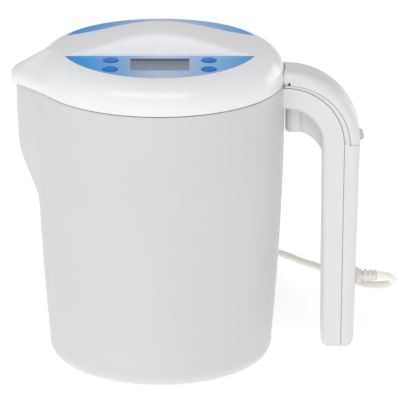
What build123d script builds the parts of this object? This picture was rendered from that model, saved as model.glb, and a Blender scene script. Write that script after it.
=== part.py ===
"""Pouring jug with an electronic lid: a frosted jug, a lid that lifts off, a handle and a mains lead.

The origin is the centre of the jug's base. +Z is up, the spout points along -X, the handle along +X, and the
control panel faces -Y. All sizes are in millimetres.
"""
from build123d import *
from math import acos, atan2, cos, pi, radians, sin, sqrt, tan
import os

# ---------------------------------------------------------------- driving dimensions
WALL = 2.6                 # jug wall
SKIN = 2.4                 # walls of the lid and the handle
RUN = 0.35                 # gap between pieces that move past each other

BASE_FLAT_R = 65.0         # flat the jug stands on
BASE_R = 74.0              # radius just above the rounded bottom edge
FOOT_R, FOOT_Z = 71.4, 3.4     # middle of the rounded bottom edge
FOOT_TOP_Z = 12.0
FLOOR_Z = 3.2              # inside of the base
BELLY_R, BELLY_Z = 80.4, 108.0
RIM_R, RIM_Z = 82.2, 190.0

SPOUT_X = 95.0             # nose of the spout at the rim
SPOUT_NOSE_R = 14.0
SPOUT_KNEE_Z = 143.0       # the nose slants in below this
SPOUT_END_Z = 106.0

LID_Z = 190.6              # underside of the lid's skirt
SKIRT_TOP_Z = 200.5
SHOULDER_R, SHOULDER_Z = 66.0, 212.2
PANEL_R = 66.0             # round edge of both panels
PANEL_Y = 23.0             # straight edge of both panels, beside the bridge
PANEL_Z = 213.4            # height of the panels at their straight edge
PANEL_TILT = 2.1           # degrees, falling outwards
PANEL_T = 1.6
BRIDGE_TOP_Z = 227.0
BRIDGE_TOP_Y = 15.0
BRIDGE_END_X = 63.0
BEAK_X, BEAK_R = 98.6, 17.6

BEND_X, BEND_Z = 82.5, 149.5   # centre of the handle's bend
GRIP_R = 24.4              # inner face of the handle
SEAM_R = 38.7              # parting of the handle's two shells
SADDLE_R = 42.8            # lower edge of the tail cover on the bend
BACK_R = 49.5              # outer face of the handle
GRIP_HALF_Y = 15.0
GRIP_BOTTOM_Z = 8.0
BACK_LEAN = 3.5            # the outer face leans in towards the bottom
SEAM_LEAN = 1.4
ROOT_X = 70.0              # inside the jug, where the handle's forms start
HOLLOW_X = 84.5            # where the handle's hollows start
EDGE_MATCH = 1.2           # how near an edge lies to the radius it is looked for at
CORNER_R = 5.0             # lower corners of the handle
TAIL_END_Z = 149.0
TAIL_GAP = 0.3             # between the tail cover and the handle under it
NUB_R, NUB_W = 2.8, 8.0    # thumb nub on the tail cover
TAIL_EDGE_Z = 190.4        # lower edge of the tail cover where it meets the lid

LEAD_D = 5.0               # mains lead
LEAD_Z = 53.0
LEAD_EXIT_X = 144.0
COIL_X, COIL_Y = 30.0, 170.0
COIL_OUT_R, COIL_IN_R, COIL_H = 34.5, 19.5, 12.6

BUTTON_R = 4.8
BUTTON_X = 32.0
BUTTON_LOCAL_Y = (-8.3, -25.6)
WINDOW_W, WINDOW_D = 38.4, 23.0
WINDOW_LOCAL_Y = -16.5

BOARD_T = 1.6
PLATE_Z = 181.0            # underside of the lid's base plate
PLATE_R = 78.4
ROD_X, ROD_Y, ROD_R, ROD_END_Z = 16.0, 11.0, 3.6, 66.0
PROBE_X, PROBE_R, PROBE_END_Z = -22.0, 3.0, 84.0
BOSS_X, BOSS_R, BOSS_Z = 88.6, 6.0, 155.4

NODES = {}


# ---------------------------------------------------------------- small helpers
def flat(x, z):
    """A point of the upright middle plane."""
    return (x, 0, z)


def upright_face(*edges):
    """A face in the middle plane from edges that meet end to end."""
    return make_face(list(edges))


def turned(*edges):
    """A solid of revolution about the jug's axis."""
    return revolve(upright_face(*edges), axis=Axis.Z, revolution_arc=360)


def slab(face, half_y):
    """An upright face made into a slab, half_y to each side."""
    return extrude(face, amount=half_y, dir=(0, 1, 0), both=True)


def box(x0, x1, y0, y1, z0, z1):
    place = Pos((x0 + x1) / 2, (y0 + y1) / 2, (z0 + z1) / 2)
    return place * Box(x1 - x0, y1 - y0, z1 - z0)


def post(x, y, z0, z1, r):
    return Pos(x, y, (z0 + z1) / 2) * Cylinder(r, z1 - z0)


def rod_x(x0, x1, y, z, r):
    return Pos((x0 + x1) / 2, y, z) * (Rot(0, 90, 0) * Cylinder(r, x1 - x0))


def ring(z0, z1, r_in, r_out, x=0, y=0):
    return post(x, y, z0, z1, r_out) - post(x, y, z0 - 1, z1 + 1, r_in)


def nose_section(z, nose_x, nose_r, root_x, root_y):
    """Plan outline of a V with a round nose, pointing along -X."""
    centre_x = -nose_x + nose_r
    reach = sqrt((root_x - centre_x) ** 2 + root_y ** 2)
    slope = atan2(root_y, root_x - centre_x) + acos(nose_r / reach)
    tip_x = centre_x + nose_r * cos(slope)
    tip_y = nose_r * sin(slope)
    sides = [
        Line((root_x, -root_y, z), (tip_x, -tip_y, z)),
        ThreePointArc((tip_x, -tip_y, z), (-nose_x, 0, z), (tip_x, tip_y, z)),
        Line((tip_x, tip_y, z), (root_x, root_y, z)),
        Line((root_x, root_y, z), (root_x + 20, root_y, z)),
        Line((root_x + 20, root_y, z), (root_x + 20, -root_y, z)),
        Line((root_x + 20, -root_y, z), (root_x, -root_y, z)),
    ]
    return make_face(sides)


# ---------------------------------------------------------------- jug
def jug_outline(inset, z_floor, z_top):
    """The round body as a solid, moved in by inset."""
    flat_r = BASE_FLAT_R - inset
    foot_r = BASE_R - inset
    bend = ThreePointArc(
        flat(flat_r, z_floor), flat(FOOT_R - inset, z_floor + FOOT_Z), flat(foot_r, FOOT_TOP_Z)
    )
    side = ThreePointArc(
        flat(foot_r, FOOT_TOP_Z), flat(BELLY_R - inset, BELLY_Z), flat(RIM_R - inset, z_top)
    )
    return turned(
        Line(flat(0, z_floor), flat(flat_r, z_floor)),
        bend,
        side,
        Line(flat(RIM_R - inset, z_top), flat(0, z_top)),
        Line(flat(0, z_top), flat(0, z_floor)),
    )


def spout_solid(inset, z_low, z_top):
    """The V-shaped spout, moved in by inset, dying out in the wall."""
    nose_r = SPOUT_NOSE_R - inset * 0.6
    root_y = 34.0 - inset
    top = nose_section(z_top, SPOUT_X - inset, nose_r, -70.0, root_y)
    knee = nose_section(SPOUT_KNEE_Z, SPOUT_X - 1.2 - inset, nose_r, -70.0, root_y)
    end = nose_section(z_low, 79.0 - inset, nose_r * 0.8, -66.0, root_y * 0.6)
    return loft([end, knee, top], ruled=True)


def make_jug():
    outer = jug_outline(0, 0, RIM_Z) + spout_solid(0, SPOUT_END_Z, RIM_Z)
    inner = jug_outline(WALL, FLOOR_Z, RIM_Z + 0.01) + spout_solid(WALL, SPOUT_END_Z + 4, RIM_Z + 0.01)
    return outer - inner


# ---------------------------------------------------------------- lid
def lid_dome(inset, z_low):
    """The lid's round dome as a solid, moved in by inset."""
    r = RIM_R - inset
    return turned(
        Line(flat(0, z_low), flat(r, z_low)),
        Line(flat(r, z_low), flat(r, SKIRT_TOP_Z - inset * 0.3)),
        ThreePointArc(
            flat(r, SKIRT_TOP_Z - inset * 0.3),
            flat(78.4 - inset * 0.75, 207.4 - inset * 0.7),
            flat(SHOULDER_R, SHOULDER_Z - inset),
        ),
        Line(flat(SHOULDER_R, SHOULDER_Z - inset), flat(0, SHOULDER_Z - inset)),
        Line(flat(0, SHOULDER_Z - inset), flat(0, z_low)),
    )


def beak_solid(inset, z_low):
    """The hood over the spout."""
    sections = [
        nose_section(z_low, BEAK_X - inset, BEAK_R - inset, -66.0, 44.0 - inset),
        nose_section(196.0, BEAK_X - inset, BEAK_R - inset, -66.0, 44.0 - inset),
        nose_section(202.2 - inset * 0.7, 92.0 - inset, 14.0 - inset, -66.0, 36.0 - inset),
        nose_section(208.4 - inset, 81.5 - inset, 9.0 - inset, -66.0, 22.0 - inset),
    ]
    return loft(sections, ruled=True)


def bridge_solid(inset):
    """The arched grip along the middle of the lid."""
    low = SHOULDER_Z - 6.0
    arch = slab(
        upright_face(
            Line(flat(-BRIDGE_END_X, low), flat(BRIDGE_END_X, low)),
            Line(flat(BRIDGE_END_X, low), flat(BRIDGE_END_X, SHOULDER_Z - inset)),
            ThreePointArc(
                flat(BRIDGE_END_X, SHOULDER_Z - inset),
                flat(0, BRIDGE_TOP_Z - inset),
                flat(-BRIDGE_END_X, SHOULDER_Z - inset),
            ),
            Line(flat(-BRIDGE_END_X, SHOULDER_Z - inset), flat(-BRIDGE_END_X, low)),
        ),
        PANEL_Y + 5,
    )
    foot, top = PANEL_Y - inset, BRIDGE_TOP_Y - inset
    profile = FilletPolyline(
        (-80, -foot, low), (-80, -foot, SHOULDER_Z), (-80, -top, BRIDGE_TOP_Z + 1),
        (-80, top, BRIDGE_TOP_Z + 1), (-80, foot, SHOULDER_Z), (-80, foot, low),
        radius=[0, 4, 4, 0],
    )
    closed = [profile, Line((-80, foot, low), (-80, -foot, low))]
    beam = extrude(make_face(closed), amount=160, dir=(1, 0, 0))
    return arch & beam


def panel_place(side):
    """Frame of a panel: origin on its straight edge, y outwards is negative in front and positive behind."""
    return Location((0, side * PANEL_Y, PANEL_Z), (-side * PANEL_TILT, 0, 0))


def panel_blank(side, top, bottom, edge=0.0):
    """The lens-shaped plate between two local heights, grown by edge."""
    disc = Pos(0, -side * PANEL_Y, (top + bottom) / 2) * Cylinder(PANEL_R + edge, top - bottom)
    half = Pos(0, side * 50, (top + bottom) / 2) * Box(200, 100 + 2 * edge, top - bottom)
    return panel_place(side) * (disc & half)


def front_place(x, y, top, bottom, shape):
    """A front-panel piece at local x, y, between two local heights."""
    return panel_place(-1) * (Pos(x, y, (top + bottom) / 2) * shape)


def button_spots():
    return [(side * BUTTON_X, y) for side in (-1, 1) for y in BUTTON_LOCAL_Y]


def make_lid_shell():
    plateau = [panel_blank(side, 0, -5, 1.2) for side in (-1, 1)]
    outer = lid_dome(0, LID_Z) + beak_solid(0, LID_Z) + plateau[0] + plateau[1]
    inner = lid_dome(SKIN, LID_Z - 1) + beak_solid(SKIN, LID_Z - 1)
    shell = outer - inner
    for side in (-1, 1):
        shell += panel_blank(side, -1.0, -PANEL_T - 2.2, 1.2) & lid_dome(0.2, LID_Z)
        shell -= panel_blank(side, 2.0, -PANEL_T, 0.1)
    for x, y in button_spots():
        shell -= front_place(x, y, 1, -9, Cylinder(6.3, 10))
    shell -= front_place(0, WINDOW_LOCAL_Y, 1, -9, Box(WINDOW_W + 3, WINDOW_D + 3, 10))
    shell -= box(RIM_R - 6, RIM_R + 3, -6, 6, 192.6, 198.0)
    shell -= box(-56, 56, -18, 18, SHOULDER_Z - 8, SHOULDER_Z + 8)
    return shell - bridge_space()


def bridge_space():
    """What the bridge covers above the dome's flat top."""
    return bridge_solid(0) & box(-90, 90, -40, 40, SHOULDER_Z, BRIDGE_TOP_Z + 5)


def make_bridge():
    return bridge_space() - bridge_solid(SKIN)


def make_front_panel():
    panel = panel_blank(-1, 0, -PANEL_T)
    for x, y in button_spots():
        panel -= front_place(x, y, 1, -4, Cylinder(BUTTON_R + RUN, 5))
    panel -= front_place(0, WINDOW_LOCAL_Y, 1, -4, Box(WINDOW_W, WINDOW_D, 5))
    return panel


def make_rear_panel():
    panel = panel_blank(1, 0, -PANEL_T)
    return panel - panel_place(1) * (Pos(44, 9, 0) * Cylinder(3.0, 6))


def make_indicator_lamp():
    lamp = Pos(44, 9, 0.15 - PANEL_T / 2) * Cylinder(2.9, PANEL_T + 0.3)
    return panel_place(1) * lamp


def make_button(x, y):
    """A cap with a flange below the panel and a short stem over its switch."""
    cap = front_place(x, y, 0.5, -1.7, Cylinder(BUTTON_R, 2.2))
    cap = fillet(cap.edges().group_by(Axis.Z)[-1], 0.4)
    flange = front_place(x, y, -1.7, -3.0, Cylinder(BUTTON_R + 1.0, 1.3))
    stem = front_place(x, y, -3.0, -5.0, Cylinder(2.4, 2.0))
    return cap + flange + stem


def make_switches():
    bodies = [front_place(x, y, -6.6, -9.6, Box(6.2, 6.2, 3.0)) for x, y in button_spots()]
    plungers = [front_place(x, y, -6.0, -6.6, Cylinder(1.7, 0.6)) for x, y in button_spots()]
    return Compound(children=[body + plunger for body, plunger in zip(bodies, plungers)])


def make_control_board():
    return front_place(0, -17.0, -9.6, -9.6 - BOARD_T, Box(74, 30, BOARD_T))


def make_display_module():
    glass = front_place(0, WINDOW_LOCAL_Y, -1.7, -4.4, Box(WINDOW_W + 2, WINDOW_D + 2, 2.7))
    feet = [front_place(x, WINDOW_LOCAL_Y, -4.4, -9.6, Box(2, 18, 5.2)) for x in (-17, 17)]
    return glass + feet[0] + feet[1]


def make_power_board():
    return box(-40, 40, -17, 17, 196.0, 196.0 + BOARD_T)


def make_transformer():
    core = box(-30, -4, -11, 11, 197.6, 213.0)
    winding = box(-24, -10, -14, 14, 199.6, 211.0)
    return core + winding


def make_capacitors():
    cans = [(4, -8, 5.0, 14), (4, 8, 4.0, 11), (18, -9, 3.2, 9)]
    return Compound(children=[post(x, y, 197.6, 197.6 + h, r) for x, y, r, h in cans])


def make_buzzer():
    return post(26, 6, 197.6, 204.6, 6.0) - post(26, 6, 203.6, 205, 1.0)


def make_base_plate():
    cup = post(0, 0, PLATE_Z, 193.0, PLATE_R) - post(0, 0, PLATE_Z + 2.4, 194.0, PLATE_R - 2.4)
    cup -= ring(184.0, 187.0, PLATE_R - 1.0, PLATE_R + 5)
    cup += ring(191.0, 193.0, PLATE_R - 3, 79.6)
    for x, y in lid_screw_spots():
        cup += post(x, y, PLATE_Z + 2.4, 195.6, 3.4)
        cup -= post(x, y, PLATE_Z - 1, 197, 1.6)
        cup -= post(x, y, PLATE_Z - 1, PLATE_Z + 2.0, 3.0)
    for x, y, r in hanging_spots():
        cup -= post(x, y, PLATE_Z - 1, PLATE_Z + 4, r + 0.2)
    for x in (-36, 36):
        cup += box(x - 3, x + 3, -14, 14, PLATE_Z + 2.4, 196.0)
    return cup


def make_seal():
    return ring(184.0, 187.0, PLATE_R - 1.0, 79.15)


def lid_screw_spots():
    return [(60 * cos(radians(a)), 60 * sin(radians(a))) for a in (45, 135, 225, 315)]


def hanging_spots():
    return [(ROD_X, ROD_Y, ROD_R), (ROD_X, -ROD_Y, ROD_R), (PROBE_X, 0, PROBE_R)]


def make_lid_posts(shell):
    """Screw posts under the dome, joined to the lid's shell."""
    for x, y in lid_screw_spots():
        column = post(x, y, 195.6, 212, 3.4) & lid_dome(SKIN - 0.2, LID_Z)
        shell += column
        shell -= post(x, y, 195, 205, 1.3)
    return shell


def make_lid_screws():
    screws = []
    for x, y in lid_screw_spots():
        head = post(x, y, PLATE_Z + 0.1, PLATE_Z + 2.0, 2.8)
        shank = post(x, y, PLATE_Z + 2.0, 203.0, 1.25)
        screws.append(head + shank - box(x - 2, x + 2, y - 0.4, y + 0.4, PLATE_Z, PLATE_Z + 0.8))
    return Compound(children=screws)


def make_heating_rod():
    """A U-shaped sheathed rod whose two legs pass through the base plate."""
    top = PLATE_Z + 9.0
    bend_z = ROD_END_Z + ROD_Y
    legs = [post(ROD_X, y, bend_z, top, ROD_R) for y in (-ROD_Y, ROD_Y)]
    circle = Plane((ROD_X, ROD_Y, bend_z), x_dir=(1, 0, 0), z_dir=(0, 0, 1)) * Circle(ROD_R)
    bend = revolve(circle, axis=Axis((ROD_X, 0, bend_z), (1, 0, 0)), revolution_arc=180)
    if bend.bounding_box().min.Z > bend_z - 1:
        bend = revolve(circle, axis=Axis((ROD_X, 0, bend_z), (-1, 0, 0)), revolution_arc=180)
    collars = [post(ROD_X, y, PLATE_Z - 4.0, PLATE_Z - 1.6, ROD_R + 2.4) for y in (-ROD_Y, ROD_Y)]
    return legs[0] + legs[1] + bend + collars[0] + collars[1]


def make_probe():
    tip = Pos(PROBE_X, 0, PROBE_END_Z + PROBE_R) * Sphere(PROBE_R)
    collar = post(PROBE_X, 0, PLATE_Z - 4.0, PLATE_Z - 1.6, PROBE_R + 2.4)
    return post(PROBE_X, 0, PROBE_END_Z + PROBE_R, PLATE_Z + 9.0, PROBE_R) + tip + collar


def make_gaskets():
    washers = [ring(PLATE_Z - 1.6, PLATE_Z, r + 0.05, r + 2.4, x, y) for x, y, r in hanging_spots()]
    return Compound(children=washers)


def make_nuts():
    nuts = []
    for x, y, r in hanging_spots():
        hexagon = Pos(x, y, PLATE_Z + 2.4) * extrude(RegularPolygon(r + 2.8, 6), amount=3.0)
        nuts.append(hexagon - post(x, y, PLATE_Z, PLATE_Z + 8, r + 0.05))
    return Compound(children=nuts)


# ---------------------------------------------------------------- handle and tail
def under_bend(r, lean, half_y, z_bottom):
    """Everything below the handle's J-curve of radius r, as a slab."""
    return slab(
        upright_face(
            Line(flat(ROOT_X, z_bottom), flat(ROOT_X, BEND_Z + r)),
            Line(flat(ROOT_X, BEND_Z + r), flat(BEND_X, BEND_Z + r)),
            ThreePointArc(
                flat(BEND_X, BEND_Z + r),
                flat(BEND_X + r * cos(pi / 4), BEND_Z + r * sin(pi / 4)),
                flat(BEND_X + r, BEND_Z),
            ),
            Line(flat(BEND_X + r, BEND_Z), flat(BEND_X + r - lean, z_bottom)),
            Line(flat(BEND_X + r - lean, z_bottom), flat(ROOT_X, z_bottom)),
        ),
        half_y,
    )


def under_saddle(inset, half_y, z_bottom):
    """Everything below the tail cover's lower edge, moved in by inset, as a slab."""
    across, up = SADDLE_R - inset, TAIL_EDGE_Z - BEND_Z - inset
    cover_edge = Plane.XZ * EllipticalCenterArc((BEND_X, BEND_Z), across, up, start_angle=0, arc_size=90)
    return slab(
        upright_face(
            Line(flat(ROOT_X, z_bottom), flat(ROOT_X, BEND_Z + up)),
            Line(flat(ROOT_X, BEND_Z + up), flat(BEND_X, BEND_Z + up)),
            cover_edge,
            Line(flat(BEND_X + across, BEND_Z), flat(BEND_X + across, z_bottom)),
            Line(flat(BEND_X + across, z_bottom), flat(ROOT_X, z_bottom)),
        ),
        half_y,
    )


def rounded_corner(x, side, z, r):
    """What is cut away to round a lower corner; side is +1 for a corner that points along +X."""
    low, high = sorted((x + side, x - side * r))
    block = box(low, high, -20, 20, z - 1, z + r)
    return block - Pos(x - side * r, 0, z + r) * (Rot(90, 0, 0) * Cylinder(r, 42))


def hollow_under(r, lean, z_bottom):
    """The space inside the handle's walls below the J-curve of radius r."""
    space = under_bend(r, lean, GRIP_HALF_Y - SKIN, z_bottom)
    return space & box(HOLLOW_X, 160, -20, 20, 0, 230)


def outer_edges(solid, r):
    """The long edges on the sides of a J-shaped solid, at radius r."""
    found = []
    for edge in solid.edges():
        middle = edge @ 0.5
        if abs(abs(middle.Y) - GRIP_HALF_Y) > 0.01:
            continue
        if middle.Z > BEND_Z and middle.X > BEND_X:
            radius = sqrt((middle.X - BEND_X) ** 2 + (middle.Z - BEND_Z) ** 2)
        elif middle.X <= BEND_X:
            radius = middle.Z - BEND_Z
        else:
            lean = BACK_LEAN * (BEND_Z - middle.Z) / (BEND_Z - GRIP_BOTTOM_Z)
            radius = middle.X - BEND_X + (lean if r == BACK_R else 0)
        if abs(radius - r) < EDGE_MATCH:
            found.append(edge)
    return found


def handle_stock(r_out, r_in, lean_out, lean_in):
    """One layer of the handle between two J-curves."""
    blank = under_bend(r_out, lean_out, GRIP_HALF_Y, GRIP_BOTTOM_Z)
    return blank - under_bend(r_in, lean_in, GRIP_HALF_Y + 1, GRIP_BOTTOM_Z - 1)


def jug_and_lid_clearance():
    """Space kept by the jug's wall and the lid's skirt."""
    return jug_outline(0, 0, RIM_Z) + post(0, 0, RIM_Z - 1.0, RIM_Z + 30, RIM_R + RUN)


def screw_heights():
    return (28.0, 92.0)


def make_inner_shell():
    shell = handle_stock(SEAM_R, GRIP_R, SEAM_LEAN, 0)
    shell = fillet(outer_edges(shell, GRIP_R), 3.0)
    hollow = hollow_under(SEAM_R + 1, SEAM_LEAN, GRIP_BOTTOM_Z + SKIN)
    hollow -= under_bend(GRIP_R + SKIN, 0, GRIP_HALF_Y, GRIP_BOTTOM_Z - 1)
    shell = shell - hollow - jug_and_lid_clearance()
    shell -= rounded_corner(BEND_X + GRIP_R, -1, GRIP_BOTTOM_Z, CORNER_R)
    for z in screw_heights():
        shell += rod_x(BEND_X + GRIP_R + 1, 118.4, 0, z, 4.4)
        shell -= rod_x(BEND_X + GRIP_R - 1, 125, 0, z, 1.6)
        shell -= rod_x(BEND_X + GRIP_R - 1, BEND_X + GRIP_R + 2.2, 0, z, 3.2)
    shell -= post(BOSS_X, 0, 160, 182, 1.3)
    shell += ring(174.2, 184.0, 1.3, 3.2, BOSS_X, 0)
    return shell


def make_outer_shell():
    shell = handle_stock(BACK_R, SEAM_R, BACK_LEAN, SEAM_LEAN)
    shell = fillet(outer_edges(shell, BACK_R), 5.5)
    shell -= box(60, 150, -20, 20, TAIL_END_Z - TAIL_GAP, 230) - under_saddle(TAIL_GAP, 30, 0)
    shell -= rounded_corner(BEND_X + BACK_R - BACK_LEAN, 1, GRIP_BOTTOM_Z, CORNER_R)
    low_hollow = hollow_under(BACK_R - SKIN, BACK_LEAN, GRIP_BOTTOM_Z + SKIN)
    low_hollow &= box(60, 150, -20, 20, 0, TAIL_END_Z - SKIN - TAIL_GAP)
    high_hollow = under_saddle(TAIL_GAP + SKIN, GRIP_HALF_Y - SKIN, 100) & box(HOLLOW_X, 160, -20, 20, 0, 230)
    shell = shell - low_hollow - high_hollow - jug_and_lid_clearance()
    for z in screw_heights():
        shell += rod_x(118.5, 130.0, 0, z, 4.0) & under_bend(BACK_R - 1, BACK_LEAN, 20, 5)
        shell -= rod_x(117, 126.5, 0, z, 1.3)
    shell -= rod_x(120, 140, 0, LEAD_Z, 4.4)
    seam_mark = under_bend(SEAM_R + 0.55, SEAM_LEAN, 30, 5) - under_bend(SEAM_R - 0.2, SEAM_LEAN, 40, 4)
    shell -= seam_mark - box(0, 200, -GRIP_HALF_Y + 0.9, GRIP_HALF_Y - 0.9, 0, 300)
    shell -= socket_block(0.2)
    return shell


def make_tail_cover():
    cover = under_bend(BACK_R, 0, GRIP_HALF_Y, TAIL_END_Z)
    cover = fillet(outer_edges(cover, BACK_R), 5.5)
    saddle = under_saddle(0, 30, 100)
    hollow = hollow_under(BACK_R - SKIN, 0, 100) & box(60, 160, -30, 30, TAIL_END_Z + 3.0, 240)
    notch = slab(upright_face(*Polyline(
        flat(84.0, TAIL_EDGE_Z - 1), flat(84.0, TAIL_EDGE_Z + 0.4), flat(84.9, TAIL_EDGE_Z + 2.4),
        flat(85.8, TAIL_EDGE_Z + 0.4), flat(85.8, TAIL_EDGE_Z - 1), close=True).edges()), 30)
    nub = Pos(BEND_X + BACK_R - 0.2, 0, TAIL_END_Z + NUB_R + 0.3) * (Rot(90, 0, 0) * Cylinder(NUB_R, NUB_W))
    cover += nub
    cover = cover - saddle - hollow - notch
    return cover - lid_outside()


def lid_outside():
    """The lid's outer form, which the tail cover stops against."""
    return lid_dome(0, LID_Z - 10) + box(0, 80, -30, 30, 100, 230)


def make_bracket():
    """The boss beside the jug's wall and the web that ties it to the handle's bend."""
    boss = post(BOSS_X, 0, BOSS_Z, BEND_Z + GRIP_R + 3, BOSS_R)
    web_low_r = 22.6
    window = Pos(86.0, 0, 133.0) * (Rot(90, 0, 0) * Cylinder(web_low_r, 40))
    web = box(BOSS_X, BEND_X + GRIP_R + 1, -3, 3, 132.0, BEND_Z + GRIP_R + 1) - window
    piece = (boss + web) & under_bend(GRIP_R - 0.02, 0, 20, 100)
    piece -= jug_outline(0, 0, RIM_Z)
    piece -= post(BOSS_X, 0, 150, 200, 1.6)
    return piece - post(BOSS_X, 0, 150, BOSS_Z + 3, 3.2)


def make_handle_screws():
    screws = []
    for z in screw_heights():
        face_x = BEND_X + GRIP_R
        head = rod_x(face_x + 0.4, face_x + 2.2, 0, z, 2.9)
        shank = rod_x(face_x + 2.2, 125.5, 0, z, 1.25)
        screws.append(head + shank - box(face_x, face_x + 1.2, -2, 2, z - 0.4, z + 0.4))
    head = post(BOSS_X, 0, BOSS_Z + 1.2, BOSS_Z + 3.0, 2.9)
    shank = post(BOSS_X, 0, BOSS_Z + 3.0, 181.5, 1.25)
    screws.append(head + shank - box(BOSS_X - 2, BOSS_X + 2, -0.4, 0.4, BOSS_Z, BOSS_Z + 2.0))
    return Compound(children=screws)


def socket_block(grow):
    return box(93.4 - grow, 104.6 + grow, -9 - grow, 9 + grow, 174.0, 191.0 + grow)


def contact_spots():
    return [(99.0, y) for y in (-5.0, 0.0, 5.0)]


def make_contact_socket():
    block = socket_block(0) & under_saddle(TAIL_GAP, 20, 100)
    block -= under_bend(GRIP_R + SKIN, 0, 20, 90)
    for x, y in contact_spots():
        block -= post(x, y, 180, 200, 1.85)
    return block


def make_contact_plug():
    roof = under_bend(BACK_R - SKIN, 0, 20, 100)
    block = box(93.4, 104.6, -9, 9, TAIL_EDGE_Z + 0.2, 210) & roof
    for x, y in contact_spots():
        block += post(x, y, 182.0, TAIL_EDGE_Z + 1.5, 1.5)
    return block


def make_handle_wiring():
    wires = []
    for y in (-3.4, 3.4):
        corners = [(121.0, y, LEAD_Z + 1), (121.0, y, 66.0), (115.5, y * 2, 80.0), (115.5, y * 2, 104.0),
                   (119.0, y * 2, 128.0), (116.0, y * 2, 155.0), (105.6, y * 2, 172.0)]
        wires.append(tube(corners, 1.2, "handle wire"))
    return Compound(children=wires)


# ---------------------------------------------------------------- lead, coil and plug
def tube(points, radius, label):
    """A tube along straight runs joined by the largest tangent arcs that the runs allow."""
    spots = [Vector(*p) for p in points]
    radii = []
    for before, here, after in zip(spots, spots[1:], spots[2:]):
        turn = radians((here - before).get_angle(after - here))
        shorter = min((here - before).length, (after - here).length)
        radii.append(0.45 * shorter / tan(turn / 2))
    path = FilletPolyline(*points, radius=radii)
    start = Plane(origin=path @ 0, z_dir=path % 0)
    solid = sweep(start * Circle(radius), path=path)
    expected = pi * radius ** 2 * path.length
    print(f"{label}: length {path.length:.1f}, radii {[round(r, 1) for r in radii]}, "
          f"volume {solid.volume:.0f} of {expected:.0f}")
    return solid


LEAD_ROUTE = [
    (LEAD_EXIT_X, 0.0, LEAD_Z), (150.4, 0.0, LEAD_Z), (156.6, 8.6, 46.6), (153.0, 21.5, 38.2),
    (138.5, 37.0, 32.6), (124.0, 66.0, 28.0), (110.0, 106.0, 20.4), (98.5, 146.0, 9.6),
    (86.0, 181.0, 3.2), (62.0, 200.5, 2.5), (COIL_X, 202.0, 2.5),
]
TAIL_ROUTE = [(COIL_X, 202.0, 7.5), (8.0, 203.5, 4.6), (-9.0, 205.6, 4.2), (-24.0, 206.0, 6.8)]
PLUG_X, PLUG_Y, PLUG_Z = -24.0, 206.0, 6.8


def coil_solid():
    blank = ring(0.0, COIL_H, COIL_IN_R, COIL_OUT_R, COIL_X, COIL_Y)
    return chamfer(blank.edges(), 1.6)


def make_lead():
    return tube(LEAD_ROUTE, LEAD_D / 2, "mains lead") - coil_solid()


def make_lead_tail():
    return tube(TAIL_ROUTE, LEAD_D / 2, "lead tail") - coil_solid() - plug_blank()


def make_tie():
    """A band round the coil's section on the side away from the jug's axis."""
    x0, x1 = COIL_X + COIL_IN_R, COIL_X + COIL_OUT_R
    outer = box(x0 - 0.9, x1 + 0.9, COIL_Y - 2.5, COIL_Y + 2.5, 0.0, COIL_H + 0.9)
    return outer - coil_solid() - box(x0 + 2, x1 - 2, COIL_Y - 3, COIL_Y + 3, -1, 1.0)


def plug_blank():
    body = box(PLUG_X - 27, PLUG_X, PLUG_Y - 17, PLUG_Y + 17, 0.0, 13.6)
    return fillet(body.edges(), 3.0)


def make_plug_pins():
    pins = [rod_x(PLUG_X - 46, PLUG_X - 26.9, PLUG_Y + y, PLUG_Z, 2.0) for y in (-9.3, 9.3)]
    return Compound(children=[pin - plug_blank() for pin in pins])


def make_strain_relief():
    """Flange on the handle, a tapered sleeve with cross slots, and a collar inside the shell."""
    face_x = BEND_X + BACK_R - BACK_LEAN * (BEND_Z - LEAD_Z) / (BEND_Z - GRIP_BOTTOM_Z)
    flange = fillet(rod_x(face_x + 0.2, face_x + 2.2, 0, LEAD_Z, 5.6).edges(), 0.6)
    neck = rod_x(face_x - SKIN - 1.0, face_x + 0.5, 0, LEAD_Z, 4.2)
    inside = rod_x(face_x - SKIN - 2.2, face_x - SKIN - 0.4, 0, LEAD_Z, 6.0)
    length = LEAD_EXIT_X - face_x - 1.5
    sleeve = Pos(face_x + 1.5 + length / 2, 0, LEAD_Z) * (Rot(0, 90, 0) * Cone(4.5, 3.5, length))
    relief = flange + neck + inside + sleeve
    core = rod_x(face_x, LEAD_EXIT_X, 0, LEAD_Z, 2.9)
    for i in range(3):
        x = face_x + 4.4 + 3.4 * i
        slot = box(x, x + 1.5, -8, 8, LEAD_Z - 8, LEAD_Z + 8) - core
        bars = box(x - 1, x + 3, -8, 8, LEAD_Z - 1.1, LEAD_Z + 1.1)
        relief -= slot - bars
    return relief


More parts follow.
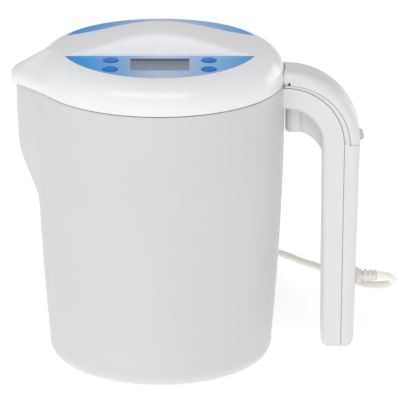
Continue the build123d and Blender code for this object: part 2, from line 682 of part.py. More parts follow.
# ---------------------------------------------------------------- all nodes
def collect():
    NODES["jug"] = make_jug()
    NODES["lid_shell"] = make_lid_posts(make_lid_shell())
    NODES["grip_bridge"] = make_bridge()
    NODES["lid_tail_cover"] = make_tail_cover()
    NODES["front_panel"] = make_front_panel()
    NODES["rear_panel"] = make_rear_panel()
    NODES["indicator_lamp"] = make_indicator_lamp()
    NODES["display_window"] = front_place(0, WINDOW_LOCAL_Y, 0, -PANEL_T, Box(WINDOW_W, WINDOW_D, PANEL_T))
    NODES["display_module"] = make_display_module()
    NODES["control_board"] = make_control_board()
    NODES["tact_switches"] = make_switches()
    for number, (x, y) in enumerate(button_spots(), start=1):
        NODES[f"button_{number}"] = make_button(x, y)
    NODES["power_board"] = make_power_board()
    NODES["transformer"] = make_transformer()
    NODES["capacitors"] = make_capacitors()
    NODES["buzzer"] = make_buzzer()
    NODES["lid_base_plate"] = make_base_plate()
    NODES["lid_seal"] = make_seal()
    NODES["lid_screws"] = make_lid_screws()
    NODES["heating_rod"] = make_heating_rod()
    NODES["temperature_probe"] = make_probe()
    NODES["rod_gaskets"] = make_gaskets()
    NODES["rod_nuts"] = make_nuts()
    NODES["contact_plug"] = make_contact_plug()
    NODES["contact_socket"] = make_contact_socket()
    NODES["handle_inner_shell"] = make_inner_shell()
    NODES["handle_outer_shell"] = make_outer_shell()
    NODES["handle_bracket"] = make_bracket()
    NODES["handle_screws"] = make_handle_screws()
    NODES["handle_wiring"] = make_handle_wiring()
    NODES["cord_strain_relief"] = make_strain_relief()
    NODES["power_cord"] = make_lead()
    NODES["cord_coil"] = coil_solid()
    NODES["cord_tail"] = make_lead_tail()
    NODES["cord_tie"] = make_tie()
    NODES["plug_body"] = plug_blank()
    NODES["plug_pins"] = make_plug_pins()


collect()
os.makedirs("parts", exist_ok=True)
for node, shape in NODES.items():
    export_step(shape, f"parts/{node}.step")
    print(f"{node}: {len(shape.solids())} solid(s), {shape.volume / 1000:.2f} cm3")
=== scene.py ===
# %% [markdown]
# # A pouring jug with an electronic lid
# This lesson dresses a finished engineering model. The engineering model holds every size, place and moving
# joint. Here each visible part gets its final skin, its colour and its gloss, and the mains lead gets its
# real curve. Lengths are in metres, but part sizes are easier to read in millimetres, so they are written
# as a number times MM.

# %% Load the fixed frame
from math import acos, atan2, cos, exp, pi, radians, sin, sqrt, tan

import bmesh
import bpy
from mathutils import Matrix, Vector


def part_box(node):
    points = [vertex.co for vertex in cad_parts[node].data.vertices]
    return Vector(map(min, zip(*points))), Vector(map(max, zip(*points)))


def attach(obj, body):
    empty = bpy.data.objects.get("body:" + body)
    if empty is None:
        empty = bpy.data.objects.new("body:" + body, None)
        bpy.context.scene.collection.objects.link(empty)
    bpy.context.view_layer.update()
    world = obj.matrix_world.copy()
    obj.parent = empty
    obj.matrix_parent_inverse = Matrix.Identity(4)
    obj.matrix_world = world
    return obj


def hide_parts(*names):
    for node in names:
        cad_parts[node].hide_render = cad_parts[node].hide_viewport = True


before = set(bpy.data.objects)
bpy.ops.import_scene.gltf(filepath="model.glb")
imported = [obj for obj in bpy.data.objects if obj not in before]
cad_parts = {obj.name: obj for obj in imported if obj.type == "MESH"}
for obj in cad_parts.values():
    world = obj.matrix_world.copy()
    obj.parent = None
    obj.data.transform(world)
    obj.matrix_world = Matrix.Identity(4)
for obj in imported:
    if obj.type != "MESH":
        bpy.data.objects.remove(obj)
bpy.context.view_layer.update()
MM = 0.001
scene = bpy.context.scene

# %% [markdown]
# ## Camera, floor and light
# The object is a small white thing on a white table, seen from the front and a little above, through a long
# lens that hardly shows any perspective. Soft light comes from all round, with a bright panel high on the
# left, so that the white plastic is modelled by gentle greys and not by hard shadows.

# %% Camera
AIM = Vector((26.2 * MM, 0, 106 * MM))
DISTANCE = 3.4
ELEVATION = radians(18.98)
LENS = 460.4

camera_data = bpy.data.cameras.new("camera")
camera_data.lens = LENS
camera_data.clip_end = 30
camera = bpy.data.objects.new("camera", camera_data)
scene.collection.objects.link(camera)
backwards = Vector((0, -cos(ELEVATION), sin(ELEVATION)))
camera.location = AIM + backwards * DISTANCE
camera.rotation_euler = (-backwards).to_track_quat("-Z", "Y").to_euler()
scene.camera = camera
scene.view_settings.view_transform = "Standard"
print("camera at", tuple(round(c, 3) for c in camera.location))


# %% Lights and surroundings
def soft_panel(name, place, aim, width, height, power):
    """A rectangular lamp that faces a point."""
    data = bpy.data.lights.new(name, "AREA")
    data.shape = "RECTANGLE"
    data.size = width
    data.size_y = height
    data.energy = power
    lamp = bpy.data.objects.new(name, data)
    lamp.location = place
    lamp.rotation_euler = (Vector(aim) - Vector(place)).to_track_quat("-Z", "Y").to_euler()
    scene.collection.objects.link(lamp)
    print(name, "gives", power, "watts")


soft_panel("front_sky", (-0.35, -1.6, 2.15), AIM, 3.0, 1.3, 27)
soft_panel("left_wall", (-2.2, -0.6, 0.5), AIM, 1.0, 1.4, 2.5)
soft_panel("back_glow", (1.7, 1.4, 0.35), AIM, 1.2, 0.9, 6)

world = bpy.data.worlds.new("surroundings")
scene.world = world
world.use_nodes = True
world.node_tree.nodes["Background"].inputs["Color"].default_value = (1.0, 1.0, 1.0, 1)
world.node_tree.nodes["Background"].inputs["Strength"].default_value = 0.48

# %% [markdown]
# ## A small language for materials
# A material is a formula over the surface. The class below wraps one output socket, so that a formula can be
# written with plus and times, and the class after it makes the nodes.


# %% Sockets that do arithmetic
class Port:
    """An output socket that can be used in a sum."""

    def __init__(self, recipe, socket):
        self.recipe, self.socket = recipe, socket

    def combine(self, operation, first, second):
        return self.recipe.node("ShaderNodeMath", {"operation": operation}, {0: first, 1: second})

    def __add__(self, other):
        return self.combine("ADD", self, other)

    def __sub__(self, other):
        return self.combine("SUBTRACT", self, other)

    def __rsub__(self, other):
        return self.combine("SUBTRACT", other, self)

    def __mul__(self, other):
        return self.combine("MULTIPLY", self, other)

    __radd__ = __add__
    __rmul__ = __mul__


class Finish:
    """A material made from a principled shader and a few patterns."""

    def __init__(self, name, **numbers):
        self.material = bpy.data.materials.new(name)
        self.material.use_nodes = True
        self.tree = self.material.node_tree
        self.shader = self.tree.nodes["Principled BSDF"]
        for socket, value in numbers.items():
            self.set(socket.replace("_", " "), value)

    def set(self, socket, value):
        target = self.shader.inputs[socket]
        if isinstance(value, Port):
            self.tree.links.new(value.socket, target)
        else:
            target.default_value = value
        return self

    def node(self, kind, settings=None, sockets=None, output=0):
        made = self.tree.nodes.new(kind)
        for key, value in (settings or {}).items():
            if key == "stops":
                self.fill_ramp(made.color_ramp, value)
            else:
                setattr(made, key, value)
        for key, value in (sockets or {}).items():
            if isinstance(value, Port):
                self.tree.links.new(value.socket, made.inputs[key])
            else:
                made.inputs[key].default_value = value
        return Port(self, made.outputs[output])

    @staticmethod
    def fill_ramp(ramp, stops):
        while len(ramp.elements) < len(stops):
            ramp.elements.new(0.5)
        for element, (place, colour) in zip(ramp.elements, stops):
            element.position = place
            element.color = colour

    def place(self):
        """Object coordinates in metres."""
        return self.node("ShaderNodeTexCoord", output="Object")

    def axis(self, letter):
        """One of the object coordinates, in metres."""
        return self.node("ShaderNodeSeparateXYZ", {}, {0: self.place()}, output=letter)

    def noise(self, scale, detail=3.0):
        sockets = {"Vector": self.place(), "Scale": scale, "Detail": detail}
        return self.node("ShaderNodeTexNoise", {}, sockets)

    def mix(self, factor, first, second):
        return self.node("ShaderNodeMix", {"data_type": "RGBA"}, {0: factor, 6: first, 7: second}, output=2)

    def ramp(self, factor, stops):
        return self.node("ShaderNodeValToRGB", {"stops": stops}, {0: factor})

    def bump(self, height, strength, distance):
        sockets = {"Height": height, "Strength": strength, "Distance": distance}
        return self.set("Normal", self.node("ShaderNodeBump", {}, sockets))


def rgb(red, green, blue):
    """A colour given as display values from 0 to 255, made linear."""
    values = [v / 255 for v in (red, green, blue)]
    return tuple(v / 12.92 if v < 0.0405 else ((v + 0.055) / 1.055) ** 2.4 for v in values) + (1,)


# %% [markdown]
# ## The finishes
# The jug is milky polypropylene with a fine matt grain. The lid is a harder, glossy white. The handle is the
# same white with a slightly softer gloss. Each one has a faint change of tone and gloss over the surface,
# because a perfectly even white looks like paper.


# %% Moulded plastics
PLASTIC_IOR = 1.49
TONE_PATCHES, GLOSS_PATCHES = 14.0, 60.0
GLOSS_DRIFT = 0.10
GRAIN_STRENGTH = 0.25


def moulded(name, colour, shade, rough, grain, grain_depth, **numbers):
    """A moulded plastic: two close tones, a drifting gloss and a fine grain, its depth in millimetres."""
    finish = Finish(name, IOR=PLASTIC_IOR, **numbers)
    drift = finish.noise(TONE_PATCHES, 2.0)
    finish.set("Base Color", finish.mix(drift, rgb(*colour), rgb(*shade)))
    finish.set("Roughness", finish.noise(GLOSS_PATCHES, 4.0) * GLOSS_DRIFT + (rough - GLOSS_DRIFT / 2))
    finish.bump(finish.noise(grain, 2.0), GRAIN_STRENGTH, grain_depth * MM)
    return finish


frosted = moulded("frosted_plastic", (219, 219, 221), (215, 215, 218), 0.46, 2600.0, 0.03)
frosted.set("Subsurface Weight", 0.25)
frosted.set("Subsurface Radius", (10 * MM, 10 * MM, 11 * MM))
gloss_white = moulded("glossy_white", (245, 245, 246), (242, 242, 244), 0.20, 220.0, 0.004)
handle_white = moulded("handle_white", (232, 232, 231), (229, 229, 229), 0.30, 2200.0, 0.01)
cream_jacket = moulded("cream_jacket", (252, 249, 239), (248, 245, 234), 0.42, 1800.0, 0.04)
cream_sleeve = moulded("cream_sleeve", (236, 233, 226), (230, 227, 219), 0.48, 1600.0, 0.04)
silicone = moulded("silicone", (214, 216, 218), (206, 209, 212), 0.40, 900.0, 0.02)
black_plastic = moulded("black_plastic", (38, 38, 41), (30, 30, 33), 0.40, 1500.0, 0.03)
winding_tape = moulded("winding_tape", (206, 163, 66), (188, 141, 48), 0.35, 800.0, 0.04)
print("moulded plastics made")

# %% [markdown]
# The two panels carry a printed film whose blue fades towards the middle of the lid. It hardly shines, and
# neither do the buttons. The display's window gets darker towards its back edge, and along that edge it
# carries a painted shadow, where the recess's back wall would shade it.


# %% The printed panel, its buttons and its display
PANEL_HALF = 62 * MM
FAINT_SHINE = 0.15
FILM_IOR = 1.5


def printed_panel():
    """A blue film that fades towards the middle of the lid."""
    finish = Finish("blue_panel", IOR=FILM_IOR, Specular_IOR_Level=FAINT_SHINE)
    across = finish.axis("X") * (0.5 / PANEL_HALF) + 0.5
    fade = finish.ramp(
        across,
        [
            (0.0, rgb(6, 140, 226)),
            (0.12, rgb(25, 160, 240)),
            (0.30, rgb(130, 180, 232)),
            (0.50, rgb(196, 210, 236)),
            (0.68, rgb(160, 196, 236)),
            (0.87, rgb(110, 178, 236)),
            (1.0, rgb(40, 156, 234)),
        ],
    )
    cloud = finish.noise(35.0, 2.0)
    finish.set("Base Color", finish.mix(cloud * 0.10, fade, rgb(120, 170, 222)))
    finish.set("Roughness", finish.noise(90.0, 3.0) * 0.08 + 0.14)
    return finish


def display_glass_and_painted_shadow():
    """A grey window that darkens towards the back, with a painted shadow strip along its back edge."""
    finish = Finish("display_glass_and_painted_shadow", IOR=FILM_IOR, Specular_IOR_Level=FAINT_SHINE)
    low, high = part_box("display_window")
    depth = high.y - low.y
    along = finish.axis("Y") * (1.0 / depth) - low.y / depth
    # The last two stops, from 0.84 on, are a painted shadow of the recess's back wall falling over the
    # window's back edge.
    grey_and_painted_shadow = finish.ramp(
        along,
        [
            (0.0, rgb(146, 153, 170)),
            (0.60, rgb(118, 124, 138)),
            (0.80, rgb(108, 114, 128)),
            (0.84, rgb(34, 52, 88)),
            (1.0, rgb(44, 66, 104)),
        ],
    )
    finish.set("Base Color", grey_and_painted_shadow)
    finish.set("Roughness", finish.noise(120.0, 2.0) * 0.05 + 0.06)
    return finish


blue_panel = printed_panel()
window_glass = display_glass_and_painted_shadow()
button_blue = moulded(
    "button_blue", (0, 126, 214), (0, 110, 198), 0.28, 700.0, 0.02, Specular_IOR_Level=FAINT_SHINE
)
lamp_blue = moulded("lamp_blue", (38, 88, 168), (30, 76, 152), 0.15, 500.0, 0.01)
display_grey = moulded("display_grey", (120, 126, 138), (112, 118, 130), 0.30, 900.0, 0.01)
print("panel, window, buttons and lamp have their colours")


# %% [markdown]
# Metal is drawn or plated, so its streaks run along one direction. The circuit boards are green, with the
# faint pattern of tracks under the solder mask.


# %% Metals and the circuit board
STREAKS = 900.0
STREAK_SHADE = 22


def brushed(name, colour, rough, stretch):
    """A drawn metal with fine streaks along +Z."""
    finish = Finish(name, Metallic=1.0)
    squeezed = finish.node("ShaderNodeMapping", {}, {"Vector": finish.place(), "Scale": (1.0, 1.0, stretch)})
    streak = finish.node("ShaderNodeTexNoise", {}, {"Vector": squeezed, "Scale": STREAKS, "Detail": 3.0})
    finish.set("Base Color", finish.mix(streak, rgb(*colour), rgb(*(c - STREAK_SHADE for c in colour))))
    finish.set("Roughness", streak * 0.18 + rough)
    return finish


def circuit_board():
    """Green solder mask over faint copper tracks."""
    finish = Finish("circuit_board", IOR=FILM_IOR)
    pattern = {"Vector": finish.place(), "Scale": 160.0, "Mortar Size": 0.03}
    tracks = finish.node("ShaderNodeTexBrick", {}, pattern, output="Fac")
    finish.set("Base Color", finish.mix(tracks, rgb(24, 92, 52), rgb(52, 128, 74)))
    finish.set("Roughness", tracks * 0.1 + 0.3)
    return finish


steel = brushed("drawn_steel", (196, 197, 200), 0.18, 0.02)
plated = brushed("plated_pins", (214, 214, 216), 0.10, 1.0)
board_green = circuit_board()
print("metals and board made")

# %% [markdown]
# ## Parts that keep their engineering shape
# A turned or flat part is already right, so it only needs its finish. A bigger moulded part needs smooth
# shading as well. The shape as loaded is loose triangles, so a copy of it is welded and its true corners are
# marked sharp.


# %% Welding and shading helpers
TRUE_CORNER = radians(32)
WELD = 1e-6


def settle(bm, name, body, finish, stands_for):
    """Makes a finished piece from a bmesh and hands it to its body."""
    mesh = bpy.data.meshes.new(name)
    bm.to_mesh(mesh)
    bm.free()
    mesh.shade_smooth()
    mesh.set_sharp_from_angle(angle=TRUE_CORNER)
    mesh.materials.append(finish.material)
    piece = bpy.data.objects.new(name, mesh)
    scene.collection.objects.link(piece)
    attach(piece, body)
    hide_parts(*stands_for)
    print(f"{name}: {len(mesh.polygons)} faces")
    return piece


def welded(node, body, finish):
    """A smooth-shaded copy of an engineering part, which it stands for."""
    bm = bmesh.new()
    bm.from_mesh(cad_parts[node].data)
    bmesh.ops.remove_doubles(bm, verts=bm.verts, dist=WELD)
    bmesh.ops.dissolve_degenerate(bm, edges=bm.edges, dist=WELD / 10)
    piece = settle(bm, "skin_" + node, body, finish, (node,))
    even = piece.modifiers.new("even_shading", "WEIGHTED_NORMAL")
    even.keep_sharp = True
    return piece


def dress(node, finish):
    """Puts a finish on an engineering part that stays as it is."""
    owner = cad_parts[node]
    for holder in owner.material_slots:
        holder.material = finish.material


JUG, LID = "jug_body", "lid_body"
print("parts ride on", JUG, "and", LID)

# %% Small and inner parts, which only take a finish
DRESSED = {
    "display_module": display_grey, "control_board": board_green, "tact_switches": black_plastic,
    "power_board": board_green, "transformer": winding_tape, "capacitors": black_plastic,
    "buzzer": black_plastic, "lid_seal": silicone, "rod_gaskets": silicone, "rod_nuts": steel,
    "lid_screws": steel, "handle_screws": steel, "contact_plug": black_plastic,
    "contact_socket": black_plastic, "handle_wiring": black_plastic, "indicator_lamp": lamp_blue,
}
for node, finish in DRESSED.items():
    dress(node, finish)
print(len(DRESSED), "parts dressed")

# %% Moulded and turned parts
MOULDINGS = (
    ("handle_inner_shell", JUG, "handle_white", handle_white),
    ("handle_outer_shell", JUG, "handle_white", handle_white),
    ("handle_bracket", JUG, "handle_white", handle_white),
    ("lid_tail_cover", LID, "handle_white", handle_white),
    ("lid_base_plate", LID, "white_gloss", gloss_white),
    ("heating_rod", LID, "steel", steel),
    ("temperature_probe", LID, "steel", steel),
    ("front_panel", LID, "panel_blue", blue_panel),
    ("rear_panel", LID, "panel_blue", blue_panel),
    ("display_window", LID, "window_clear", window_glass),
)
for node, body, slot, finish in MOULDINGS:
    welded(node, body, finish)
for number in (1, 2, 3, 4):
    welded(f"button_{number}", f"button_{number}_body", button_blue)

# %% [markdown]
# ## The V-shaped spout
# Seen from above the spout is a V with a round nose. The helper below says how far such a V reaches in any
# direction from the jug's axis. The jug and the hood of the lid are both spun as plain round bodies, and
# then each point near the spout is pushed out to that reach, with a soft blend where the two meet.

# %% How far the V reaches
RIM_R, RIM_Z = 82.2, 190.0


def spout_reach(turn, nose, nose_r, root_x, root_y):
    """Reach of the V in millimetres, at an angle from the spout's direction."""
    turn = abs(turn)
    centre = nose - nose_r
    back, side = centre - root_x, root_y
    lean = atan2(side, -back) - acos(nose_r / sqrt(back ** 2 + side ** 2))
    if turn <= atan2(nose_r * sin(lean), centre + nose_r * cos(lean)):
        return centre * cos(turn) + sqrt(max(nose_r ** 2 - (centre * sin(turn)) ** 2, 0))
    nearest = centre * cos(lean) + nose_r
    if turn < lean:
        return nearest / cos(turn - lean)
    return nearest * max(cos(turn - lean), 0.0)


def soft_max(a, b, blend):
    """The larger of two lengths, with a rounded change from one to the other."""
    return (a + b + sqrt((a - b) ** 2 + blend ** 2)) / 2


def soft_min(a, b, blend):
    """The smaller of two lengths, with a rounded change from one to the other."""
    return (a + b - sqrt((a - b) ** 2 + blend ** 2)) / 2


def mix(a, b, share):
    """A value between two others, which share takes from the first to the second."""
    return a + (b - a) * min(max(share, 0.0), 1.0)


print("soft blend of 3 and 3 mm:", round(soft_max(3, 3, 2.0), 2), "mm")


# %% [markdown]
# ## The jug
# The real jug is a thin, milky moulding. The engineering part could be shown as it is, but its facets could
# show on such a plain wall, so the wall is turned again with evenly spaced rings. Its closed outline
# runs along the base, up the gently swelling wall, over the thin rim and back down inside. After the spin,
# the rings are gathered closer together near the spout, where the curve is tight.

# %% Outline of the jug
def arc_through(p, q, r):
    """Centre and radius of the circle through three points."""
    ax, ay = q[0] - p[0], q[1] - p[1]
    bx, by = r[0] - p[0], r[1] - p[1]
    d = 2 * (ax * by - ay * bx)
    ux = (by * (ax * ax + ay * ay) - ay * (bx * bx + by * by)) / d
    uy = (ax * (bx * bx + by * by) - bx * (ax * ax + ay * ay)) / d
    return p[0] + ux, p[1] + uy, sqrt(ux * ux + uy * uy)


RINGS = 224
WALL, RIM_ROUND = 2.6, 0.8
BASE_R, FOOT_R, FOOT_Z = 65.0, 74.0, 12.0
WALL_MIDDLE, FOOT_MIDDLE = (80.4, 108.0), (71.4, 3.4)
FLOOR_R, FLOOR_Z = 62.0, 3.2
BEND_R, BEND_Z = 71.5, 15.0
wall_arc = arc_through((FOOT_R, FOOT_Z), WALL_MIDDLE, (RIM_R, RIM_Z))
foot_arc = arc_through((BASE_R, 0.0), FOOT_MIDDLE, (FOOT_R, FOOT_Z))


def wall_radius(z):
    """Outer radius of the round wall at a height, in millimetres."""
    x, y, r = wall_arc if z >= FOOT_Z else foot_arc
    return x + sqrt(max(r * r - (z - y) ** 2, 0))


def steps(start, stop, count):
    """Evenly spaced values from start to stop, both included."""
    return [start + (stop - start) * i / count for i in range(count + 1)]


def jug_outline():
    """Closed outline of the jug's wall as radius and height."""
    quarter = steps(0, pi / 2, 4)
    top_z = RIM_Z - RIM_ROUND
    base = [(r, 0.0) for r in (0.0, 25.0, 50.0, 62.0)]
    foot = [(wall_radius(z), z) for z in (FOOT_Z * (1 - cos(t)) for t in steps(0, pi / 2, 10))]
    outside = [(wall_radius(z), z) for z in steps(FOOT_Z, top_z, 66)[1:]]
    rim = [(RIM_R - RIM_ROUND * (1 - cos(t)), top_z + RIM_ROUND * sin(t)) for t in quarter[1:]]
    rim += [(RIM_R - WALL + RIM_ROUND * (1 - sin(t)), top_z + RIM_ROUND * cos(t)) for t in quarter]
    inside = [(wall_radius(z) - WALL, z) for z in steps(top_z, BEND_Z, 60)[1:]]
    bend = [
        (FLOOR_R + (BEND_R - FLOOR_R) * sin(t), FLOOR_Z + (BEND_Z - FLOOR_Z) * (1 - cos(t)))
        for t in steps(pi / 2, 0, 8)[1:]
    ]
    return base + foot + outside + rim + inside + bend + [(30.0, FLOOR_Z), (0.0, FLOOR_Z)]


def turned(outline):
    """A bmesh turned about the jug's axis from an outline in millimetres."""
    bm = bmesh.new()
    spots = [bm.verts.new((-r * MM, 0, z * MM)) for r, z in outline]
    edges = [bm.edges.new(pair) for pair in zip(spots, spots[1:])]
    bmesh.ops.spin(
        bm, geom=spots + edges, cent=(0, 0, 0), axis=(0, 0, 1), dvec=(0, 0, 0), angle=2 * pi, steps=RINGS,
        use_merge=True, use_normal_flip=False, use_duplicate=False,
    )
    bmesh.ops.remove_doubles(bm, verts=bm.verts, dist=WELD)
    return bm


def polar(v):
    """Radius in millimetres, angle from the spout's direction, and height in millimetres."""
    return sqrt(v.co.x ** 2 + v.co.y ** 2) / MM, atan2(v.co.y, -v.co.x), v.co.z / MM


def put(v, r, turn, z):
    """Sets a point from its radius, angle and height."""
    v.co = (-r * cos(turn) * MM, r * sin(turn) * MM, z * MM)


GATHERED, GATHER_WIDTH = 0.6, 0.7


def gather(turn):
    """Moves a ring closer to the spout."""
    return turn * (1 - GATHERED * exp(-((turn / GATHER_WIDTH) ** 2)))


print(len(jug_outline()), "points in the jug's outline")


# %% [markdown]
# The nose of the spout leans back a little from the rim down to a knee, and below the knee it runs back into
# the wall.

# %% Push out the spout
SPOUT_NOSE, SPOUT_KNEE_Z, SPOUT_END_Z = 95.0, 143.0, 106.0
NOSE_LEAN, END_NOSE = 1.2, 79.0
KNEE_BLEND, WALL_BLEND = 2.4, 1.6
SPOUT_START_Z, FLOOR_EDGE_R = 84.0, 70.0
# nose radius, root distance along -X and root half-width, at the spout's end and above its knee
SPOUT_END, SPOUT_BODY = (11.2, 66.0, 20.4), (14.0, 70.0, 34.0)


def jug_spout(turn, z, inset):
    """Reach of the spout's wall at an angle and a height."""
    knee_nose = SPOUT_NOSE - NOSE_LEAN
    share = (z - SPOUT_END_Z) / (SPOUT_KNEE_Z - SPOUT_END_Z)
    upper = SPOUT_NOSE - NOSE_LEAN * (RIM_Z - z) / (RIM_Z - SPOUT_KNEE_Z)
    lower = END_NOSE + share * (knee_nose - END_NOSE)
    nose = soft_min(upper, lower, KNEE_BLEND) - inset
    if nose < SPOUT_END[1]:
        return 0.0
    nose_r, root_x, root_y = (mix(a, b, share) for a, b in zip(SPOUT_END, SPOUT_BODY))
    return spout_reach(turn, nose, nose_r - inset, root_x, root_y - inset)


jug = turned(jug_outline())
for v in jug.verts:
    r, turn, z = polar(v)
    if r < 1e-3:
        continue
    turn = gather(turn)
    if z > SPOUT_START_Z and r > FLOOR_EDGE_R:
        inset = wall_radius(min(z, RIM_Z)) - r
        r = soft_max(r, jug_spout(turn, z, inset), WALL_BLEND)
    put(v, r, turn, z)
bmesh.ops.recalc_face_normals(jug, faces=jug.faces)
settle(jug, "skin_jug", JUG, frosted, ("jug",))

# %% [markdown]
# ## The lid
# The lid reads as one glossy moulding, so its light has to run over shoulder, hood and bridge without a seam.
# It could be joined from solids, but the joins might show in the gloss. It is turned as one skin: a bed
# that takes the two panels, a rounded shoulder and a short upright skirt. The hood over the spout comes from
# the same V, one size larger, that shrinks as it climbs into the shoulder. The shoulder's upper edge follows
# the panels, which fall a little towards the front and back.

# %% Outline of the lid
SKIRT_Z, LID_T, LIP_ROUND = 190.6, 2.4, 0.5
PANEL_R, PANEL_Y, PANEL_Z, PANEL_T = 66.0, 23.0, 213.4, 1.6
PANEL_FALL = tan(radians(2.1))
BED_Z, BED_EDGE_R, BED_EDGE_Z = 210.4, 66.15, 212.0
SHOULDER_TOP_R, CEILING_Z = 66.9, 208.4
CROWN_R, CROWN_FOOT_Z, CROWN_H, CROWN_POWER = 50.0, 192.0, 21.3, 2.75


def panel_height(y):
    """Height of the panels' top at a distance from the middle line."""
    return PANEL_Z - max(abs(y) - PANEL_Y, 0) * PANEL_FALL


def shoulder(inset):
    """The lid's shoulder from the skirt up to the panels' edge, as part of a rounded square."""
    spots = []
    for t in steps(0, pi / 2, 40):
        r = CROWN_R + (RIM_R - CROWN_R - inset) * cos(t) ** (2 / CROWN_POWER)
        z = CROWN_FOOT_Z + (CROWN_H - inset) * sin(t) ** (2 / CROWN_POWER)
        if r > SHOULDER_TOP_R:
            spots.append((r, z))
    return spots


def lid_outline():
    """Closed outline of the lid's shell, from the middle of the top round to the middle of its inside."""
    top = [(r, BED_Z) for r in steps(0.0, PANEL_R, 44) + [BED_EDGE_R]] + [(BED_EDGE_R, BED_EDGE_Z)]
    lip_z = SKIRT_Z + LIP_ROUND
    outside = shoulder(0)[::-1] + [(RIM_R, lip_z + 0.4), (RIM_R, lip_z)]
    lip = [
        (RIM_R - LIP_ROUND * (1 - cos(t)), lip_z - LIP_ROUND * sin(t)) for t in steps(0, pi / 2, 3)[1:]
    ]
    inside = [(RIM_R - LID_T, SKIRT_Z)] + shoulder(LID_T)
    return top + outside + lip + inside + [(60.0, CEILING_Z), (30.0, CEILING_Z), (0.0, CEILING_Z)]


print(len(lid_outline()), "points in the lid's outline")

# %% [markdown]
# The hood is given at a few heights. Between two of them every figure is shared out evenly.

# %% Shape of the hood
HOOD = [
    # height, nose, nose radius, root distance along -X, root half-width
    (SKIRT_Z, 98.0, 17.0, 66.0, 43.6),
    (192.0, 98.5, 17.5, 66.0, 44.0),
    (195.0, 98.6, 17.6, 66.0, 44.0),
    (197.6, 97.4, 16.6, 66.0, 42.6),
    (199.6, 95.0, 15.0, 66.0, 40.0),
    (201.6, 91.4, 13.2, 66.0, 36.6),
    (204.4, 86.6, 11.2, 66.0, 31.4),
    (207.6, 81.4, 9.0, 65.0, 24.0),
    (210.4, 75.6, 7.0, 62.0, 17.0),
    (212.8, 68.5, 5.0, 57.0, 11.0),
]


def hood_reach(turn, z, inset):
    """Reach of the hood at an angle and a height."""
    z = min(max(z + inset * 0.5, SKIRT_Z), HOOD[-1][0])
    for low, high in zip(HOOD, HOOD[1:]):
        if z <= high[0]:
            break
    share = (z - low[0]) / (high[0] - low[0])
    nose, nose_r, root_x, root_y = (mix(a, b, share) for a, b in zip(low[1:], high[1:]))
    return spout_reach(turn, nose - inset, nose_r - inset, root_x, root_y - inset)


print("hood reaches", round(hood_reach(0.0, SKIRT_Z, 0), 1), "mm at the skirt")

# %% [markdown]
# The grip bridge arches over the middle of the lid, from the beak's side to the handle's. It flows into the
# shell without a seam, and a separate arch would leave a ring of shadow round its foot. So its height over
# any point is a formula: an arch along the lid, cut down by a steep flank at each side, with a soft edge
# between the two. Where the arch comes down to nothing it meets the shoulder.

# %% The bridge's formula
BRIDGE_TOP, BRIDGE_HALF_TOP, BRIDGE_DOME, BRIDGE_ROUND = 227.0, 15.0, 7.1, 2.4


def bridge_height(x, y):
    """Height of the bridge's skin over a point, in millimetres."""
    rise = max(1 - (x / PANEL_R) ** 2, 0.0)
    domed = max(1 - (x * x + y * y) / PANEL_R ** 2, 0.0)
    arch = BRIDGE_DOME * domed + (BRIDGE_TOP - PANEL_Z - BRIDGE_DOME) * rise ** 3
    side = (PANEL_Y - abs(y)) * (BRIDGE_TOP - PANEL_Z) / (PANEL_Y - BRIDGE_HALF_TOP)
    return PANEL_Z + max(soft_min(arch, side, BRIDGE_ROUND * rise), 0.0)


print("bridge rises to", round(bridge_height(0, 0), 1), "mm")

# %% [markdown]
# Now the outline is spun. A few extra rows of edges are cut along the bridge's flanks, and each point then
# goes to its place: out to the hood, up to the bridge, down to the panels' bed, or along the shoulder.

# %% Turn the lid and raise the hood and the bridge
FLANK_ROWS = (0.05, 0.15, 4.0, 8.0)
BED_REACH, HOOD_START_R, HOOD_BLEND = 66.2, 70.0, 2.0
SHOULDER_TOP_Z, SHOULDER_EVEN_R = 212.2, 80.0
SKIN_LIMIT = 0.93


def crown_share(r, z):
    """How far out a point lies in the shoulder's rounded square, whose skin is at 1."""
    across = max(r - CROWN_R, 0) / (RIM_R - CROWN_R)
    up = max(z - CROWN_FOOT_Z, 0) / CROWN_H
    return across ** CROWN_POWER + up ** CROWN_POWER


def lid_place(r, turn, z):
    """Where a point of the spun lid belongs, as radius, angle and height."""
    is_bed = z > BED_Z - 0.01 and r < BED_REACH
    is_outside = not is_bed and crown_share(r, z) > SKIN_LIMIT
    if r > BED_REACH:
        turn = gather(turn)
    if r > HOOD_START_R:
        r = soft_max(r, hood_reach(turn, z, 0 if is_outside else LID_T), HOOD_BLEND)
    x, y = -r * cos(turn), r * sin(turn)
    if is_bed and abs(y) < PANEL_Y - 0.1:
        z = bridge_height(x, y)
    elif is_bed:
        z = panel_height(y) - (PANEL_T if z < BED_Z + 1 else 0.0)
    elif is_outside and r < SHOULDER_EVEN_R:
        share = (SHOULDER_EVEN_R - max(r, PANEL_R)) / (SHOULDER_EVEN_R - PANEL_R)
        fall = panel_height(BED_REACH * sin(turn)) - SHOULDER_TOP_Z
        z += fall * share * share * (3 - 2 * share)
    return r, turn, z


lid = turned(lid_outline())
for side in (-1, 1):
    for offset in FLANK_ROWS:
        bmesh.ops.bisect_plane(
            lid, geom=lid.verts[:] + lid.edges[:] + lid.faces[:], dist=1e-7,
            plane_co=(0, side * (PANEL_Y - offset) * MM, 0), plane_no=(0, 1, 0),
        )
for v in lid.verts:
    put(v, *lid_place(*polar(v)))
bmesh.ops.remove_doubles(lid, verts=lid.verts, dist=WELD)
bmesh.ops.recalc_face_normals(lid, faces=lid.faces)
settle(lid, "skin_lid_shell", LID, gloss_white, ("lid_shell", "grip_bridge"))
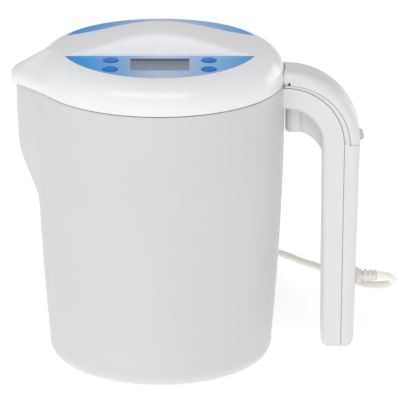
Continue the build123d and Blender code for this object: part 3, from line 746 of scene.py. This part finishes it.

# %% [markdown]
# ## The lead
# The mains lead leaves the handle through its sleeve, turns tightly, comes down to the table behind the
# handle and runs behind the jug, where the rest of it is wound into a neat tied coil with a two-pin plug at
# its end. It could be let fall in a simulation, but the engineering route already says where it lies. It is
# one spline: the route up to the coil and after it is listed, and the coil comes from a loop.

# %% Route of the lead
LEAD_D = 5.0
LEAD_ROUTE = [
    (144.0, 0.0, 53.0), (150.4, 0.0, 53.0), (156.6, 8.6, 46.6), (153.0, 21.5, 38.2),
    (138.5, 37.0, 32.6), (124.0, 66.0, 28.0), (110.0, 106.0, 20.4), (98.5, 146.0, 9.6),
    (86.0, 181.0, 3.2), (62.0, 200.5, 2.5),
]
TAIL_ROUTE = [(8.0, 203.5, 4.6), (-9.0, 205.6, 4.2), (-24.0, 206.0, 6.8)]
COIL_X, COIL_Y = 30.0, 170.0
FIRST_LAYER, CLIMB, ALL_TURNS = 2.2, 0.4, 5.0
OUTER_TURN_R, TOP_SPACING = 32.0, 4.6
POINTS_A_TURN = 14


def coil_point(turns):
    """A point of the coil after a number of turns: inwards on the table, then outwards on top."""
    if turns < FIRST_LAYER:
        r, z = OUTER_TURN_R - LEAD_D * turns, LEAD_D / 2
    else:
        share = min((turns - FIRST_LAYER) / CLIMB, 1.0)
        inner_r = OUTER_TURN_R - LEAD_D * FIRST_LAYER
        r = inner_r + TOP_SPACING * max(turns - FIRST_LAYER - CLIMB, 0.0)
        z = LEAD_D / 2 + LEAD_D * share
    angle = pi / 2 + 2 * pi * turns
    return (COIL_X + r * cos(angle), COIL_Y + r * sin(angle), z)


coil_route = [coil_point(i / POINTS_A_TURN) for i in range(int(ALL_TURNS * POINTS_A_TURN) + 1)]


def spline(name, route, diameter):
    """A round lead along a smooth spline."""
    curve = bpy.data.curves.new(name, "CURVE")
    curve.dimensions = "3D"
    line = curve.splines.new("NURBS")
    line.points.add(len(route) - 1)
    for point, (x, y, z) in zip(line.points, route):
        point.co = (x * MM, y * MM, z * MM, 1)
    line.order_u = 3
    line.use_endpoint_u = True
    line.resolution_u = 8
    curve.bevel_depth = diameter / 2 * MM
    curve.bevel_resolution = 5
    curve.use_fill_caps = True
    lead = bpy.data.objects.new(name, curve)
    scene.collection.objects.link(lead)
    return lead


lead = spline("mains_lead", LEAD_ROUTE + coil_route + TAIL_ROUTE, LEAD_D)
lead.data.materials.append(cream_jacket.material)
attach(lead, JUG)
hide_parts("power_cord", "cord_coil", "cord_tail")
print("lead has", len(LEAD_ROUTE + coil_route + TAIL_ROUTE), "points")

# %% [markdown]
# The tie, the plug with its pins and the sleeve keep their engineering shape.

# %% Tie, plug, pins and sleeve
tie = welded("cord_tie", JUG, black_plastic)
plug = welded("plug_body", JUG, cream_jacket)
pins = welded("plug_pins", JUG, plated)
welded("cord_strain_relief", JUG, cream_sleeve)

# %% [markdown]
# ## Floor
# The floor is white and lights itself a little, so that it fades into the white around it and keeps only a
# faint shadow.

# %% The floor
floor_bm = bmesh.new()
bmesh.ops.create_grid(floor_bm, x_segments=1, y_segments=1, size=6.0)
floor_mesh = bpy.data.meshes.new("floor")
floor_bm.to_mesh(floor_mesh)
floor_bm.free()
floor = bpy.data.objects.new("floor", floor_mesh)
scene.collection.objects.link(floor)
pale = Finish("pale_floor", Roughness=0.9)
pale.set("Base Color", pale.mix(pale.noise(3.0), (0.93, 0.93, 0.93, 1), (0.95, 0.95, 0.95, 1)))
pale.set("Emission Color", (1, 1, 1, 1))
pale.set("Emission Strength", 0.42)
floor_mesh.materials.append(pale.material)
print("floor laid")
